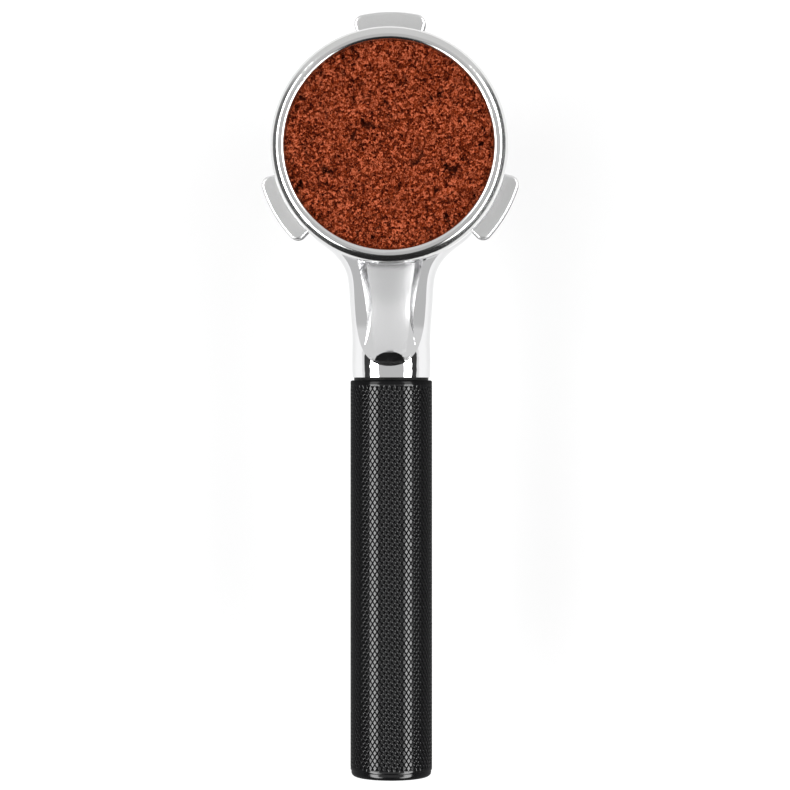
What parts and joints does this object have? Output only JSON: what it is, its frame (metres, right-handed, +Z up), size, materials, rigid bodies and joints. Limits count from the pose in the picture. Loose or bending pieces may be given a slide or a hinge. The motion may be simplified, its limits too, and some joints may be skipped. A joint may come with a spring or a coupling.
{
  "type": "espresso portafilter",
  "caption": "Portafilter for an espresso machine: lugged chrome bowl holding a basket of ground coffee, scooped neck, knurled black tube handle and a twin spout.",
  "frame": {"origin": "on the bowl axis, half way up the plain collar between the lugs and the rim", "axes": "+Z up along the bowl axis, out of the mouth; the handle runs towards -Y; X is across the handle"},
  "size_m": [0.073, 0.2178, 0.0632],
  "materials": {
    "chromed_brass": "polished chrome plate, satin in the thumb scoop and on the lugs",
    "stainless_sheet": "polished and lightly brushed stainless sheet",
    "spring_steel": "drawn wire",
    "fastener_steel": "bright zinc",
    "ground_coffee": "loose granular, matte",
    "seal": "matte",
    "black_ring": "satin",
    "plain_brass": "machined",
    "plain_aluminium": "machined",
    "core_nylon": "moulded",
    "black_anodised": "black anodised, diamond knurl"
  },
  "bodies": {
    "holder": {"portafilter_body": "chromed_brass", "basket_spring": "spring_steel", "junction_ring": "black_ring", "locating_pin": "fastener_steel", "threaded_insert": "plain_brass", "front_bush": "plain_aluminium", "insulating_core": "core_nylon", "rear_bush": "plain_aluminium", "draw_bolt": "fastener_steel", "flat_washer": "fastener_steel", "spring_washer": "spring_steel", "handle_sleeve": "black_anodised", "end_cap": "black_anodised", "end_cap_seal": "seal"},
    "basket": {"filter_basket": "stainless_sheet", "ground_coffee": "ground_coffee"},
    "washer": {"spout_washer": "seal"},
    "spout": {"twin_spout": "chromed_brass"}
  },
  "joints": [
    {"name": "basket_lift", "type": "slide", "parent": "holder", "child": "basket", "axis": [0, 0, 1], "range_m": [0, 0.035]},
    {"name": "spout_drop", "type": "slide", "parent": "holder", "child": "washer", "axis": [0, 0, -1], "range_m": [0, 0.0067]},
    {"name": "spout_turn", "type": "hinge", "parent": "washer", "child": "spout", "pos_m": [0, 0, -0.04], "axis": [0, 0, -1], "range_deg": [0, 1800]}
  ],
  "couplings": [
    {"joint": "spout_drop", "follows": "spout_turn", "m_per_rad": 0.00021279}
  ]
}
